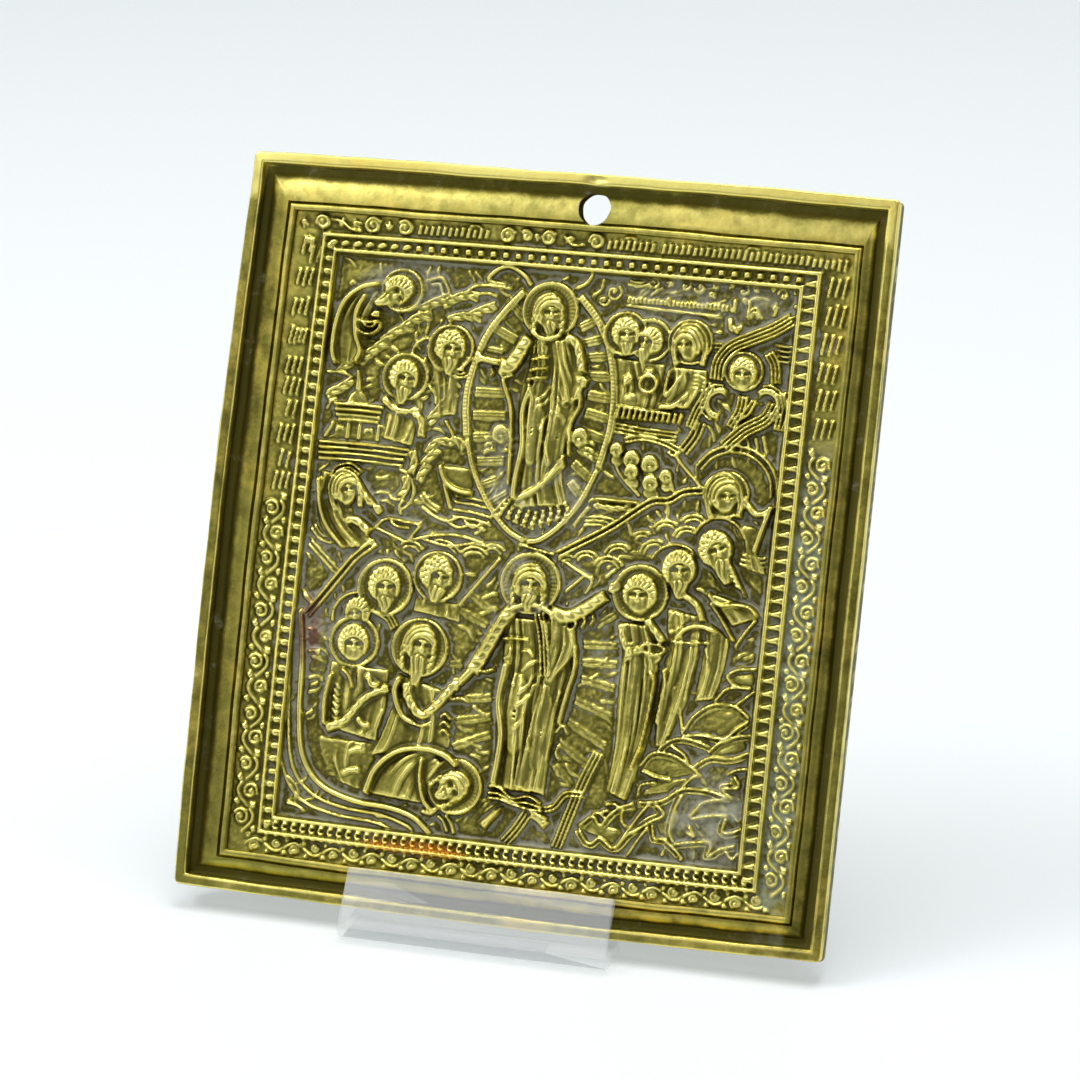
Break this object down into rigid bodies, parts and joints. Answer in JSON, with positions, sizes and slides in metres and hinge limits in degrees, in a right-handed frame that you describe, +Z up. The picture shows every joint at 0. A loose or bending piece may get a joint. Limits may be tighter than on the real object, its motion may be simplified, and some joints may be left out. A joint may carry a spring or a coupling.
{
  "type": "cast brass icon on a clear easel",
  "caption": "Small cast brass icon plaque with a moulded frame and figures in low relief, leaning in a bent clear acrylic easel.",
  "frame": {"origin": "on the table, under the middle of the whole part's box", "axes": "+Z up, -Y towards the viewer whom the relief faces, +X to that viewer's right"},
  "size_m": [0.1008, 0.0624, 0.1072],
  "materials": {
    "aged_brass": "old cast brass, rubbed bright on the high points, with grey-brown patina and pale dust in the recesses",
    "clear_acrylic": "clear polished acrylic, see-through"
  },
  "bodies": {
    "root": {"icon": "aged_brass", "stand": "clear_acrylic"}
  },
  "joints": []
}
